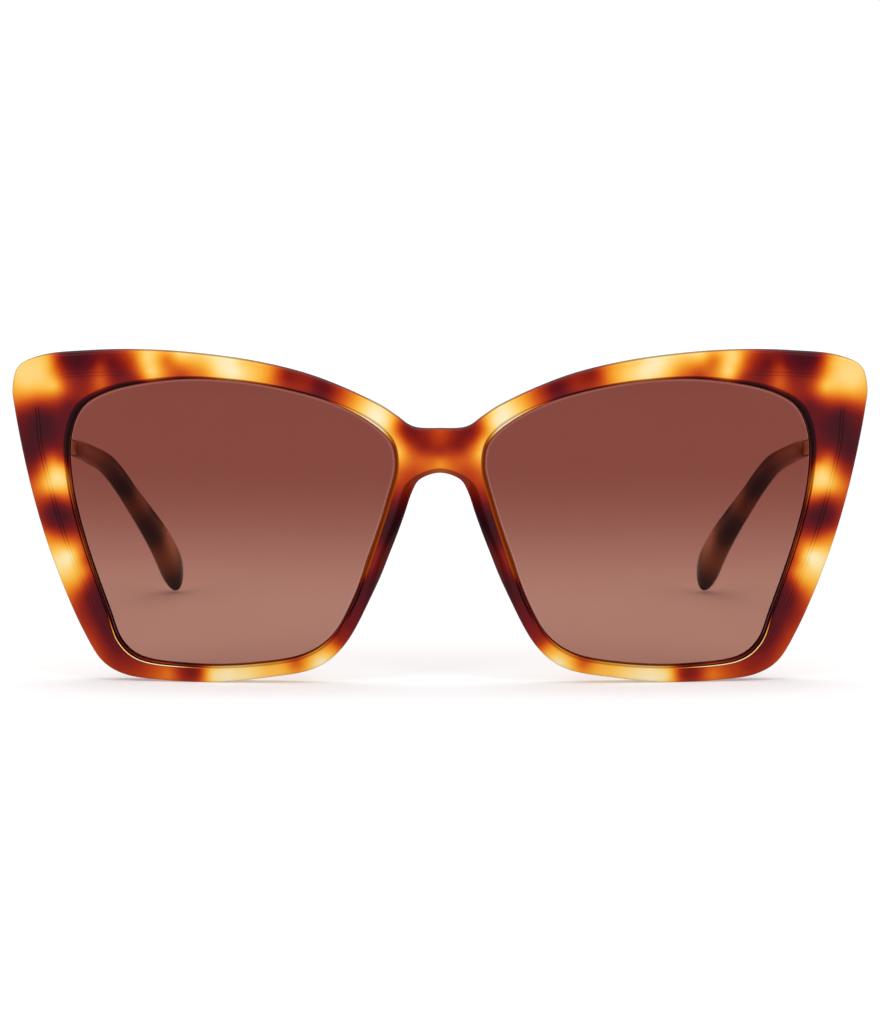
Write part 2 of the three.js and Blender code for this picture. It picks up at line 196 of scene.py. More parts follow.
# The same for a temple tip: share of its length, place from its lower edge (-1) to its upper one (1),
# and shade.
TIP_SPOTS = [
    (0, 0, 0.25), (0.05, 0.7, 0.1), (0.06, -0.7, 0.45), (0.13, 0.4, 0.28), (0.2, -0.5, 0.48),
    (0.2, 0.8, 0.22), (0.28, 0, 0.66), (0.34, 0.7, 0.48), (0.36, -0.5, 0.84), (0.44, 0, 0.88),
    (0.5, -0.8, 0.6), (0.5, 0.7, 0.22), (0.56, -0.4, 0.45), (0.57, 0.8, 0.06), (0.63, 0, 0.8),
    (0.7, -0.6, 0.84), (0.7, 0.8, 0.42), (0.79, 0.6, 0.02), (0.79, -0.6, 0.46), (0.86, 0.7, 0.26),
    (0.88, -0.4, 0.58), (0.94, 0.5, 0.88), (0.96, -0.4, 0.92), (1, 0, 1),
]
SOFTNESS = 0.7  # how far the pattern's shades run into each other
EASING = 0.05  # how freely the pattern passes its shades by
WANDER = {"scale": 0.2, "face": 0.1, "depth": 0.35, "tip": 0.8}  # how the pattern strays
DRIFT_SHIFTS = (Vector((0, 0, 0)), Vector((14, 6, 10)))  # places in the noise that it strays by
# Colours of the acetate from its palest to its darkest shade, as sRGB.
SHADES = [
    (0, "fbefcb"), (0.1, "fcdd92"), (0.2, "fbc55a"), (0.3, "f4a732"), (0.4, "e8821e"),
    (0.5, "d25c16"), (0.6, "b53a12"), (0.7, "922312"), (0.8, "6b1317"), (0.9, "4b1119"),
    (1, "321219"),
]
# The same for the temple tips.
TIP_SHADES = [
    (0, "eccfa0"), (0.2, "d2a672"), (0.4, "ab7a56"), (0.6, "805644"), (0.8, "543632"),
    (1, "2b1a1a"),
]
# Tint of a lens at each of its two faces, as linear light, and the heights between which it changes.
TINT = {
    "upper": (0.464, 0.243, 0.211),
    "lower": (0.612, 0.423, 0.369),
    # bevel: the lighter tint of a painted highlight near the lens's edge
    "bevel": (0.7, 0.46, 0.42),
    "top": 38,
    "bottom": 12,
    "clouds": 0.02,
}
LENS_GLOSS = {"roughness": 0.03, "ior": 1.14}
ACETATE = {"roughness": (0.07, 0.17), "ior": 1.49, "specular": 0.06, "bump": (0.1, 0.0002)}
METAL = {"stain": 0.8, "bump": (0.06, 0.00005)}
# How many features of each noise fit in a metre.
GRAIN = {"clouds": 240, "streaks": 300, "smears": 90, "waves": 140, "tint": 60, "brush": 1500, "stain": 120}

# ---- stage, lights and camera ----
FLOOR = {"reach": 6, "albedo": 0.7, "glow": (0.32, 0.6), "distances": (0.3, 1.5)}
SKY = {"strength": (0.15, 1.05), "heights": (0.2, 0.95), "backdrop": 1.03}
# Place, aim, size and power of each soft box, in metres and watts.
SOFTBOXES = {
    "softbox_left": ((0.75, -0.9, 0.75), (0, 0, 0.03), (0.5, 0.7), 3.7),
    "softbox_right": ((-0.75, -0.9, 0.75), (0, 0, 0.03), (0.5, 0.7), 3.7),
    "softbox_top": ((0, 0.25, 1.1), (0, 0, 0), (0.9, 0.5), 3.5),
}
CAMERA = {"lens": 145.8, "distance": 700, "height": 94, "aim_height": 29.96}


# ---- curves and outlines ----
def linear(code):
    """An sRGB hex colour as linear light with alpha."""
    values = [int(code[i:i + 2], 16) / 255 for i in (0, 2, 4)]
    return tuple(v / 12.92 if v <= 0.04045 else ((v + 0.055) / 1.055) ** 2.4 for v in values) + (1.0,)


def mirrored_half(half):
    return list(half) + [(-x, z) for x, z in reversed(half[1:-1])]


def centripetal(points, closed):
    """A dense centripetal Catmull-Rom curve; an open one goes on straight past its ends."""
    p = np.array(points, float)
    if closed:
        p = np.concatenate([p[-1:], p, p[:2]])
    else:
        p = np.concatenate([2 * p[:1] - p[1:2], p, 2 * p[-1:] - p[-2:-1]])
    dense = []
    for a, b, c, d in zip(p, p[1:], p[2:], p[3:]):
        ab, bc, cd = (math.sqrt(np.linalg.norm(v - u)) for u, v in ((a, b), (b, c), (c, d)))
        leave = ((b - a) / ab - (c - a) / (ab + bc) + (c - b) / bc) * bc
        arrive = ((c - b) / bc - (d - b) / (bc + cd) + (d - c) / cd) * bc
        t = np.linspace(0, 1, 41)[:-1, None]
        dense.append(
            (2 * t**3 - 3 * t**2 + 1) * b + (t**3 - 2 * t**2 + t) * leave
            + (3 * t**2 - 2 * t**3) * c + (t**3 - t**2) * arrive
        )
    return np.concatenate(dense + [p[-2:-1]])


def bezier(points):
    """A dense Bezier curve."""
    p = np.array(points, float)
    last = len(p) - 1
    t = np.linspace(0, 1, 400)[:, None]
    return sum(math.comb(last, i) * t**i * (1 - t) ** (last - i) * p[i] for i in range(last + 1))


def lengths(curve):
    return np.concatenate([[0], np.cumsum(np.linalg.norm(np.diff(curve, axis=0), axis=1))])


def smooth_loop(points, step):
    """A closed smooth curve through the points, in even steps."""
    curve = centripetal(points, True)
    length = lengths(curve)
    count = 2 * round(length[-1] / step / 2)
    places = np.arange(count) * length[-1] / count
    return np.stack([np.interp(places, length, curve[:, k]) for k in (0, 1)], axis=1)


def outward(loop):
    """Unit vectors that point out of a closed loop."""
    along = np.roll(loop, -1, axis=0) - np.roll(loop, 1, axis=0)
    along /= np.linalg.norm(along, axis=1)[:, None]
    after = np.roll(loop, -1, axis=0)
    area = np.sum(loop[:, 0] * after[:, 1] - after[:, 0] * loop[:, 1])
    return np.sign(area) * np.stack([along[:, 1], -along[:, 0]], axis=1)


def grown(loop, distance):
    """The loop moved outwards by one distance, or by one for each point."""
    return loop + outward(loop) * np.reshape(distance, (-1, 1))


def distance_to(loop, points):
    """Distance from each point to a closed loop."""
    best = np.full(len(points), 1e9)
    for a, b in zip(loop, np.roll(loop, -1, axis=0)):
        ab = b - a
        share = np.clip((points - a) @ ab / (ab @ ab), 0, 1)
        best = np.minimum(best, np.linalg.norm(points - a - share[:, None] * ab, axis=1))
    return best


def inside(loop, points):
    crossings = np.zeros(len(points), int)
    for a, b in zip(loop, np.roll(loop, -1, axis=0)):
        spans = (a[1] > points[:, 1]) != (b[1] > points[:, 1])
        with np.errstate(divide="ignore", invalid="ignore"):
            crossing_x = a[0] + (points[:, 1] - a[1]) * (b[0] - a[0]) / (b[1] - a[1])
        crossings += spans & (points[:, 0] < crossing_x)
    return crossings % 2 == 1


def bent(flat, depth):
    """Places points of the flat outlines, at depths behind the bent front face, in the row frame."""
    y = FACE_RADIUS - np.sqrt((FACE_RADIUS - depth) ** 2 - flat[:, 0] ** 2) + FACE_Y
    return np.stack([flat[:, 0], y, flat[:, 1]], axis=1)


def smoothstep(low, high, value):
    t = np.clip((value - low) / (high - low), 0, 1)
    return t * t * (3 - 2 * t)


def lip_widths(loop):
    """Width of the wall in front of the lens at each point of its visible edge."""
    x, z = np.abs(loop).T
    middle = (np.array(APERTURE).min(axis=0) + np.array(APERTURE).max(axis=0)) / 2
    turns, widths = np.array(LIP_WIDTHS).T
    return np.interp(np.degrees(np.arctan2(z - middle[1], x - middle[0])), turns, widths)


outer_loop = smooth_loop(mirrored_half(OUTLINE), EDGE_STEP)
outer_loop[:, 1] = np.maximum(outer_loop[:, 1], 0)
eye_loop = smooth_loop(APERTURE, EDGE_STEP)
eye_loops = {side: eye_loop * (sign, 1) for side, sign in SIDES.items()}
lip_loops = {side: grown(loop, lip_widths(loop)) for side, loop in eye_loops.items()}


# ---- pieces ----
def add_piece(name, verts, faces, look, body, replaces=(), attributes=None, sharp_angle=None):
    """Makes a smooth mesh piece from millimetres in the row frame, and puts it on its CAD body."""
    mesh = bpy.data.meshes.new(name)
    mesh.from_pydata((np.asarray(verts, float) * MM).tolist(), [], [list(map(int, f)) for f in faces])
    for label, values in (attributes or {}).items():
        data = mesh.attributes.new(label, "FLOAT", "POINT").data
        data.foreach_set("value", np.asarray(values, np.float32))
    work = bmesh.new()
    work.from_mesh(mesh)
    bmesh.ops.recalc_face_normals(work, faces=work.faces)
    work.to_mesh(mesh)
    work.free()
    mesh.materials.append(look)
    mesh.shade_smooth()
    if sharp_angle:
        mesh.set_sharp_from_angle(angle=math.radians(sharp_angle))
    piece = bpy.data.objects.new(name, mesh)
    bpy.context.scene.collection.objects.link(piece)
    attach(piece, body)
    if replaces:
        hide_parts(*replaces)
    return piece


class Shell:
    """Collects rings of points and the faces between them. A tone that isn't given comes from the pattern."""

    def __init__(self):
        self.flat, self.depth, self.tone, self.edge, self.faces = [], [], [], [], []
        self.count = 0

    # edge: how much painted shade a ring takes; on a lens, how much painted highlight.
    def add(self, flat, depth, tone=np.nan, edge=0.0):
        self.flat.append(flat)
        for values, value in ((self.depth, depth), (self.tone, tone), (self.edge, edge)):
            values.append(np.broadcast_to(value, len(flat)))
        self.count += len(flat)
        return np.arange(self.count - len(flat), self.count)

    def join(self, ring, other):
        for a, b, c, d in zip(ring, np.roll(ring, -1), np.roll(other, -1), other):
            self.faces.append((a, b, c, d))

    def cap(self, rings, step, depth_at):
        """Fills between an outer ring and the inner ones with even triangles."""
        loops = [self.points(ring) for ring in rings]
        fill = fill_points(loops, step)
        flat = np.concatenate(loops + [fill])
        indices = np.concatenate(rings + [self.add(fill, depth_at(fill))])
        edges, start = [], 0
        for loop in loops:
            n = len(loop)
            edges += [(start + i, start + (i + 1) % n) for i in range(n)]
            start += n
        found = delaunay_2d_cdt([Vector(p) for p in flat], edges, [], 0, 1e-6)
        source = [origin[0] for origin in found[3]]
        triangles = np.array([[source[v] for v in face] for face in found[2]])
        middle = flat[triangles].mean(axis=1)
        kept = inside(loops[0], middle)
        for loop in loops[1:]:
            kept &= ~inside(loop, middle)
        self.faces += [tuple(face) for face in indices[triangles[kept]]]

    def points(self, ring):
        return np.concatenate(self.flat)[ring]

    def arrays(self):
        return [np.concatenate(values) for values in (self.flat, self.depth, self.tone, self.edge)]


def ring_faces(rings, count, closed=False):
    """Faces between rings of so many points each; closed joins the last ring to the first."""
    faces = []
    for i in range(rings if closed else rings - 1):
        k = (i + 1) % rings
        faces += [(i * count + j, i * count + (j + 1) % count, k * count + (j + 1) % count, k * count + j)
                  for j in range(count)]
    return faces


def fill_points(loops, step):
    """Points of a triangular grid inside the first loop and outside the others, clear of all of them."""
    low, high = loops[0].min(axis=0), loops[0].max(axis=0)
    rows = np.arange(low[1], high[1], step * math.sqrt(0.75))
    columns = np.arange(low[0], high[0], step)
    grid = np.array([(x + (i % 2) * step / 2, z) for i, z in enumerate(rows) for x in columns])
    clear = step * FILL_CLEARANCE
    kept = inside(loops[0], grid) & (distance_to(loops[0], grid) > clear)
    for loop in loops[1:]:
        kept &= ~inside(loop, grid)
        kept[kept] = distance_to(loop, grid[kept]) > clear
    return grid[kept]


# ---- tortoise pattern ----
def shade_field(spots):
    """A smooth field through the shades at the given places, by multiquadric interpolation."""
    spots = np.array(spots, float)
    places, shades = spots[:, :2], spots[:, 2]
    count = len(spots)

    def swell(points):
        return np.sqrt(((points[:, None] - places) ** 2).sum(axis=2) + SOFTNESS**2)

    system = np.ones((count + 1, count + 1))
    system[:count, :count] = swell(places) - EASING * np.eye(count)
    system[count, count] = 0
    weights = np.linalg.solve(system, np.append(shades, 0))
    return lambda points: np.clip(swell(points) @ weights[:count] + weights[count], 0, 1)


def wandered(points, amount):
    """The first two coordinates of the points, moved about a little by smooth noise."""
    drift = [[noise.noise(Vector(p) * WANDER["scale"] + shift) for shift in DRIFT_SHIFTS] for p in points]
    return points[:, :2] + np.array(drift) * np.reshape(amount, (-1, 1))


middle_spots = [(-x, z, shade) for x, z, shade in SPOTS if 0 < x < 10]
front_field = shade_field(SPOTS + middle_spots)
tip_field = shade_field([(share * TIP_LENGTH, place * TIP_WIDTH, shade) for share, place, shade in TIP_SPOTS])


def front_tone(flat, depth):
    """Shade of the acetate through the front: the pattern wanders a little with depth."""
    points = np.stack([np.abs(flat[:, 0]), flat[:, 1], np.broadcast_to(depth, len(flat))], axis=1)
    return front_field(wandered(points, WANDER["face"] + WANDER["depth"] * points[:, 2]))


# ---- materials ----
def new_material(name):
    look = bpy.data.materials.new(name)
    look.use_nodes = True
    nodes = look.node_tree.nodes
    return look, nodes, look.node_tree.links, nodes["Principled BSDF"]


def math_node(nodes, links, operation, a, b):
    node = nodes.new("ShaderNodeMath")
    node.operation = operation
    for socket, value in zip(node.inputs, (a, b)):
        if isinstance(value, (int, float)):
            socket.default_value = value
        else:
            links.new(value, socket)
    return node.outputs[0]


def noise_node(nodes, links, place, scale, detail=2.0, stretch=None):
    if stretch:
        mapping = nodes.new("ShaderNodeMapping")
        mapping.inputs["Scale"].default_value = stretch
        links.new(place, mapping.inputs["Vector"])
        place = mapping.outputs[0]
    node = nodes.new("ShaderNodeTexNoise")
    node.inputs["Scale"].default_value = scale
    node.inputs["Detail"].default_value = detail
    links.new(place, node.inputs["Vector"])
    return node.outputs["Fac"]


def attribute_node(nodes, name):
    node = nodes.new("ShaderNodeAttribute")
    node.attribute_name = name
    return node.outputs["Fac"]


def ranged(nodes, links, value, low, high, from_low=0.0, from_high=1.0, kind="LINEAR"):
    node = nodes.new("ShaderNodeMapRange")
    node.interpolation_type = kind
    node.inputs["From Min"].default_value = from_low
    node.inputs["From Max"].default_value = from_high
    node.inputs["To Min"].default_value = low
    node.inputs["To Max"].default_value = high
    links.new(value, node.inputs["Value"])
    return node.outputs["Result"]


def bump_node(nodes, links, height, strength, distance):
    node = nodes.new("ShaderNodeBump")
    node.inputs["Strength"].default_value = strength
    node.inputs["Distance"].default_value = distance
    links.new(height, node.inputs["Height"])
    return node.outputs["Normal"]


def object_place(nodes):
    return nodes.new("ShaderNodeTexCoord").outputs["Object"]


def colour_mix(nodes, links, share, a, b, blend="MIX"):
    """Mixes two colours by a share; each is a socket, or linear light as a tuple."""
    mix = nodes.new("ShaderNodeMix")
    mix.data_type = "RGBA"
    mix.blend_type = blend
    links.new(share, mix.inputs["Factor"])
    for name, colour in (("A", a), ("B", b)):
        if isinstance(colour, tuple):
            mix.inputs[name].default_value = (*colour[:3], 1)
        else:
            links.new(colour, mix.inputs[name])
    return mix.outputs["Result"]


def wing_lines(nodes, links):
    """1 on the two thin lines that follow the front's outline at its wings."""
    distance = attribute_node(nodes, "rim")
    lines = []
    for place in WING_LINES["distances"]:
        off = math_node(nodes, links, "ABSOLUTE", math_node(nodes, links, "SUBTRACT", distance, place), 0)
        lines.append(ranged(nodes, links, off, 1, 0, 0, WING_LINES["half_width"], "SMOOTHSTEP"))
    both = math_node(nodes, links, "ADD", *lines)
    return math_node(nodes, links, "MULTIPLY", both, attribute_node(nodes, "wing"))


def tortoise_material(name, shades, mottle):
    look, nodes, links, shader = new_material(name)
    place = object_place(nodes)
    clouds = ranged(nodes, links, noise_node(nodes, links, place, GRAIN["clouds"]), -mottle, mottle)
    streaks = noise_node(nodes, links, place, GRAIN["streaks"], stretch=(1.0, 1.0, 0.3))
    streaks = ranged(nodes, links, streaks, -mottle / 2, mottle / 2)
    tone = math_node(nodes, links, "ADD", attribute_node(nodes, "tone"), clouds)
    tone = math_node(nodes, links, "ADD", tone, streaks)
    ramp = nodes.new("ShaderNodeValToRGB")
    fill_ramp(ramp.color_ramp, shades)
    links.new(tone, ramp.inputs["Fac"])
    # Painted shade: the colour is darkened by the edge attribute on the front's roundings, side walls, nose
    # flare and lens walls.
    edge = attribute_node(nodes, "edge")
    colour = colour_mix(nodes, links, edge, ramp.outputs["Color"], PAINTED_SHADE_TINT, "MULTIPLY")
    colour = colour_mix(nodes, links, wing_lines(nodes, links), colour, WING_LINES["shade"], "MULTIPLY")
    links.new(colour, shader.inputs["Base Color"])
    smears = noise_node(nodes, links, place, GRAIN["smears"], 4)
    links.new(ranged(nodes, links, smears, *ACETATE["roughness"]), shader.inputs["Roughness"])
    waves = noise_node(nodes, links, place, GRAIN["waves"])
    links.new(bump_node(nodes, links, waves, *ACETATE["bump"]), shader.inputs["Normal"])
    shader.inputs["IOR"].default_value = ACETATE["ior"]
    shader.inputs["Specular IOR Level"].default_value = ACETATE["specular"]
    return look


def fill_ramp(ramp, shades):
    while len(ramp.elements) < len(shades):
        ramp.elements.new(0.5)
    for element, (place, code) in zip(ramp.elements, shades):
        element.position = place
        element.color = linear(code)


def lens_material(name):
    look, nodes, links, shader = new_material(name)
    nodes.remove(shader)
    parts = nodes.new("ShaderNodeSeparateXYZ")
    links.new(object_place(nodes), parts.inputs[0])
    share = ranged(
        nodes, links, parts.outputs["Z"], 0.0, 1.0, TINT["bottom"] * MM, TINT["top"] * MM, "SMOOTHSTEP"
    )
    clouds = noise_node(nodes, links, object_place(nodes), GRAIN["tint"])
    clouds = ranged(nodes, links, clouds, -TINT["clouds"], TINT["clouds"])
    share = math_node(nodes, links, "ADD", share, clouds)
    tint = colour_mix(nodes, links, share, TINT["lower"], TINT["upper"])
    # Painted highlight: the tint turns lighter on the ring near the lens's edge.
    tint = colour_mix(nodes, links, attribute_node(nodes, "bevel"), tint, TINT["bevel"])
    clear = nodes.new("ShaderNodeBsdfTransparent")
    links.new(tint, clear.inputs["Color"])
    gloss = nodes.new("ShaderNodeBsdfGlossy")
    gloss.inputs["Roughness"].default_value = LENS_GLOSS["roughness"]
    fresnel = nodes.new("ShaderNodeFresnel")
    fresnel.inputs["IOR"].default_value = LENS_GLOSS["ior"]
    mixed = nodes.new("ShaderNodeMixShader")
    outer = math_node(nodes, links, "SUBTRACT", 1, nodes.new("ShaderNodeNewGeometry").outputs["Backfacing"])
    links.new(math_node(nodes, links, "MULTIPLY", fresnel.outputs[0], outer), mixed.inputs[0])
    links.new(clear.outputs[0], mixed.inputs[1])
    links.new(gloss.outputs[0], mixed.inputs[2])
    links.new(mixed.outputs[0], nodes["Material Output"].inputs["Surface"])
    return look


def metal_material(name, code, low, high, stretch):
    look, nodes, links, shader = new_material(name)
    place = object_place(nodes)
    brush = noise_node(nodes, links, place, GRAIN["brush"], 3, stretch)
    stain = noise_node(nodes, links, place, GRAIN["stain"], 3)
    colour = linear(code)
    stained = tuple(c * METAL["stain"] for c in colour)
    links.new(colour_mix(nodes, links, stain, colour, stained), shader.inputs["Base Color"])
    links.new(ranged(nodes, links, brush, low, high), shader.inputs["Roughness"])
    links.new(bump_node(nodes, links, brush, *METAL["bump"]), shader.inputs["Normal"])
    shader.inputs["Metallic"].default_value = 1.0
    return look


tortoise = tortoise_material("tortoise_acetate", SHADES, 0.03)
dark_tortoise = tortoise_material("temple_tip_acetate", TIP_SHADES, 0.05)
tinted = lens_material("tinted_lens")
gold = metal_material("gold_metal", "dfc08a", 0.16, 0.3, (1.0, 0.08, 1.0))
steel = metal_material("steel_screw", "c9c6bf", 0.2, 0.38, (1.0, 1.0, 1.0))


# ---- front ----
def face_depth(flat):
    """How far the front face falls away towards its outer edge and towards the lenses."""
    out = distance_to(outer_loop, flat)
    into = np.minimum(*(distance_to(loop, flat) for loop in lip_loops.values()))
    facet = FACET["drop"] * np.clip(1 - out / FACET["width"], 0, 1) ** 2
    lip = LIP["drop"] * np.clip(1 - into / LIP["width"], 0, 1) ** 2
    return facet + lip


def notch_share(loop):
    """1 where the nose side flares back, under the bridge and down its legs, and 0 elsewhere."""
    x, z = np.abs(loop[:, 0]), loop[:, 1]
    return (x < NOTCH["reach"]) * (z < NOTCH["top"]) * smoothstep(*NOTCH["legs"], z)


def back_rounding(shell, loop, way):
    """Rings round the back edge of a loop; way is -1 on the outline, and 1 round a lens."""
    rings = []
    for step in range(1, ROUND_STEPS + 1):
        angle = math.radians(90) * (ROUND_STEPS - step) / ROUND_STEPS
        inset, rise = BACK_ROUND * (1 - math.sin(angle)), BACK_ROUND * (1 - math.cos(angle))
        # Painted shade, fading out over the back rounding.
        edge = PAINTED_EDGE_SHADES["side"] * (1 - step / ROUND_STEPS)
        rings.append(shell.add(grown(loop, way * inset), THICKNESS - rise, edge=edge))
    return rings


def outer_strip(shell):
    """The rounded outer edge, from the front face to the back one, as rings."""
    flare = notch_share(outer_loop)
    under = smoothstep(*BRIDGE["heights"], outer_loop[:, 1]) * flare
    width = OUTER_ROUND + flare * (NOTCH["width"] - OUTER_ROUND) - under * BRIDGE["cut"]
    height = OUTER_ROUND + flare * (NOTCH["depth"] - OUTER_ROUND) - under * BRIDGE["cut"]
    power = 2 + flare * (NOTCH["power"] - 2)
    rings = []
    for share in np.arange(ROUND_STEPS + 1) / ROUND_STEPS:
        angle = math.radians(90) * share
        flat = grown(outer_loop, -width * (1 - math.sin(angle) ** (2 / power)))
        depth = height * (1 - max(math.cos(angle), 0.0) ** (2 / power)) + face_depth(flat)
        # Painted shade: darkening that grows over the outline's rounding and over the nose flare, more under
        # the bridge.
        outline = PAINTED_EDGE_SHADES["outline"] * smoothstep(*PAINTED_SHADE_FADES["outline"], share)
        nose = PAINTED_EDGE_SHADES["flare"] * smoothstep(*PAINTED_SHADE_FADES["flare"], share) * (1 + under * BRIDGE["extra_painted_shade"])
        rings.append(shell.add(flat, depth, edge=outline * (1 - flare) + nose * flare))
    full = height + face_depth(outer_loop)
    # The side wall takes painted shade too.
    for share in (0.35, 0.7, 1.0):
        depth = full + (THICKNESS - BACK_ROUND - full) * share
        rings.append(shell.add(outer_loop, depth, edge=PAINTED_EDGE_SHADES["side"]))
    return rings + back_rounding(shell, outer_loop, -1)


def wall_light_shares(loop):
    """How much of each painted light and shade the wall round a lens takes; each comes in between two places
    in x or z.
    """
    x, z = np.abs(loop[:, 0]), loop[:, 1]
    upper = smoothstep(40.5, 43.5, z)
    pale = smoothstep(24, 17, x) * upper
    nose = smoothstep(36, 24, x) * (1 - upper) * smoothstep(16, 20, z)
    rest = 1 - pale - nose
    low = rest * smoothstep(46, 38, x) * smoothstep(14, 8, z)
    corner = (rest - low) * smoothstep(14, 8, z)
    side = (rest - low - corner) * smoothstep(38, 30, z)
    dark = rest - low - corner - side
    return {"dark": dark, "side": side, "corner": corner, "low": low, "nose": nose, "pale": pale}


def eye_strip(shell, side):
    """The wall round a lens, from the front lip over the lens groove to the back, as rings."""
    loop = eye_loops[side]
    width = lip_widths(loop)
    start = face_depth(lip_loops[side])
    shares = wall_light_shares(loop)
    wall_light = {name: np.array(rows).T for name, rows in WALL_PAINTED_LIGHT.items()}
    rings = [shell.add(lip_loops[side], start)]
    for share in LIP_SHARES[1:]:
        flat = grown(loop, width * (1 - share))
        depth = start + (GROOVE["start"] - start) * (1 - math.sqrt(1 - share**2))
        # Painted light on the wall: its shade shift and its painted darkening, mixed by region.
        tone, edge = (
            sum(shares[name] * np.interp(share, look[0], look[row]) for name, look in wall_light.items())
            for row in (1, 2)
        )
        rings.append(shell.add(flat, depth, tone + (1 - shares["nose"]) * front_tone(flat, depth), edge))
    out, near, far = GROOVE["depth"], GROOVE["start"] + 0.02, GROOVE["end"] - 0.02
    groove = [(out, near), (out, far), (0, GROOVE["end"]), (0, THICKNESS - BACK_ROUND)]
    # Painted shade on the groove and on the wall behind it.
    for out, depth in groove:
        rings.append(shell.add(grown(loop, out), depth, edge=PAINTED_EDGE_SHADES["side"]))
    return rings + back_rounding(shell, loop, 1)


def wing_share(flat, depth):
    """1 on the face of the wings, where the thin lines show, fading out along the brow and the sides."""
    x, z = np.abs(flat[:, 0]), flat[:, 1]
    side = smoothstep(12, 24, z) * smoothstep(47.6, 46.8, z) * (x > 56)
    brow = 0.5 * smoothstep(51, 56, x) * smoothstep(66.5, 63, x) * (z > 50)
    low = 0.45 * smoothstep(3.5, 6, z) * smoothstep(26, 14, z) * (x > 55)
    return np.maximum(np.maximum(side, brow), low) * (depth < THICKNESS / 2)


def front_piece():
    shell = Shell()
    outer_rings = outer_strip(shell)
    eye_rings = [eye_strip(shell, side) for side in SIDES]
    for rings in [outer_rings, *eye_rings]:
        for ring, other in zip(rings, rings[1:]):
            shell.join(ring, other)
    shell.cap([outer_rings[0]] + [rings[0] for rings in eye_rings], CAP_STEP, face_depth)
    shell.cap([outer_rings[-1]] + [rings[-1] for rings in eye_rings], CAP_STEP, lambda flat: THICKNESS)
    flat, depth, tone, edge = shell.arrays()
    tone = np.where(np.isnan(tone), front_tone(flat, depth), tone)
    rim = distance_to(outer_loop, flat) - WING_LINES["drift"] * smoothstep(40, 47, flat[:, 1])
    wing = wing_share(flat, depth) * (0.2 + 0.8 * smoothstep(0.2, 0.8, tone))
    attributes = {"tone": tone, "edge": edge, "rim": rim, "wing": wing}
    add_piece(
        "acetate_front", bent(flat, depth), shell.faces, tortoise, "front",
        ["front_frame"], attributes,
    )


front_piece()


# ---- lenses ----
def lens_piece(side):
    loop = eye_loops[side]
    shell = Shell()
    centre = loop.mean(axis=0)
    reach = np.abs(loop - centre).max(axis=0)

    def crown(flat):
        away = ((flat - centre) / reach) ** 2
        return LENS_CROWN * np.clip(1 - away.sum(axis=1), 0, 1)

    far = LENS_DEPTH + LENS_THICKNESS
    rings = []
    for inset, bevel in LENS_RINGS:
        flat = grown(loop, -inset)
        # The ring near the edge takes a painted highlight, a lighter tint.
        rings.append(shell.add(flat, LENS_DEPTH - crown(flat), edge=bevel))
    rim = grown(loop, LENS_BITE)
    back = grown(loop, LENS_BITE - LENS_EDGE["inset"])
    rings.append(shell.add(rim, LENS_DEPTH + LENS_EDGE["bevel"]))
    rings.append(shell.add(rim, far - LENS_EDGE["bevel"]))
    rings.append(shell.add(back, far - crown(back)))
    for ring, other in zip(rings, rings[1:]):
        shell.join(ring, other)
    shell.cap([rings[0]], LENS_STEP, lambda flat: LENS_DEPTH - crown(flat))
    shell.cap([rings[-1]], LENS_STEP, lambda flat: far - crown(flat))
    flat, depth, _, edge = shell.arrays()
    add_piece(
        f"gradient_lens_{side}", bent(flat, depth), shell.faces, tinted, "front",
        [f"lens_{side}"], {"bevel": edge}, sharp_angle=35,
    )


for side in SIDES:
    lens_piece(side)


# ---- nose pads ----
def pad_piece(side):
    """A teardrop pad that grows out of the back of the rim."""
    sign = SIDES[side]
    rings, around = PAD_SHAPE["rings"], PAD_SHAPE["around"]
    verts = []
    splay = Matrix.Rotation(math.radians(-PAD["splay"]), 3, "Z")
    lean = Matrix.Rotation(math.radians(-PAD["lean"]), 3, "Y") @ splay
    for i in range(1, rings):
        polar = math.pi * i / rings
        height = math.cos(polar)
        slim = math.sin(polar) ** PAD_SHAPE["fullness"] * (1 - PAD_SHAPE["taper"] * height)
        for j in range(around):
            turn = 2 * math.pi * j / around
            local = Vector((
                PAD["thick"] * slim * math.cos(turn),
                PAD["width"] * slim * math.sin(turn),
                PAD["length"] * height,
            ))
            point = lean @ local
            verts.append((point.x + PAD["x"], point.y + PAD["depth"], point.z + PAD["z"]))
    poles = [lean @ Vector((0, 0, PAD["length"] * end)) for end in (1, -1)]
    verts += [(p.x + PAD["x"], p.y + PAD["depth"], p.z + PAD["z"]) for p in poles]
    faces = ring_faces(rings - 1, around)
    top, bottom = len(verts) - 2, len(verts) - 1
    last = (rings - 2) * around
    for j in range(around):
        k = (j + 1) % around
        faces.append((top, k, j))
        faces.append((bottom, last + j, last + k))
    points = np.array(verts)
    # The pad takes the front's shades at its place, which are dark there partly from painted shade.
    tone = front_tone(points[:, [0, 2]], points[:, 1])
    points[:, 1] += FACE_Y
    points[:, 0] *= sign
    add_piece(
        f"acetate_nose_pad_{side}", points, faces, tortoise, "front",
        [f"nose_pad_{side}"], {"tone": tone, "edge": np.zeros(len(points))},
    )


for side in SIDES:
    pad_piece(side)


# ---- temples ----
def along_curve(curve, shares):
    """Points and directions at shares of a curve's length; it goes on straight past its ends."""
    length = lengths(curve)
    at = np.asarray(shares, float) * length[-1]
    place = np.stack([np.interp(at, length, curve[:, k]) for k in range(3)], axis=1)
    slope = np.gradient(curve, length, axis=0)
    along = np.stack([np.interp(at, length, slope[:, k]) for k in range(3)], axis=1)
    along /= np.linalg.norm(along, axis=1)[:, None]
    beyond = at - np.clip(at, 0, length[-1])
    return place + along * beyond[:, None], along


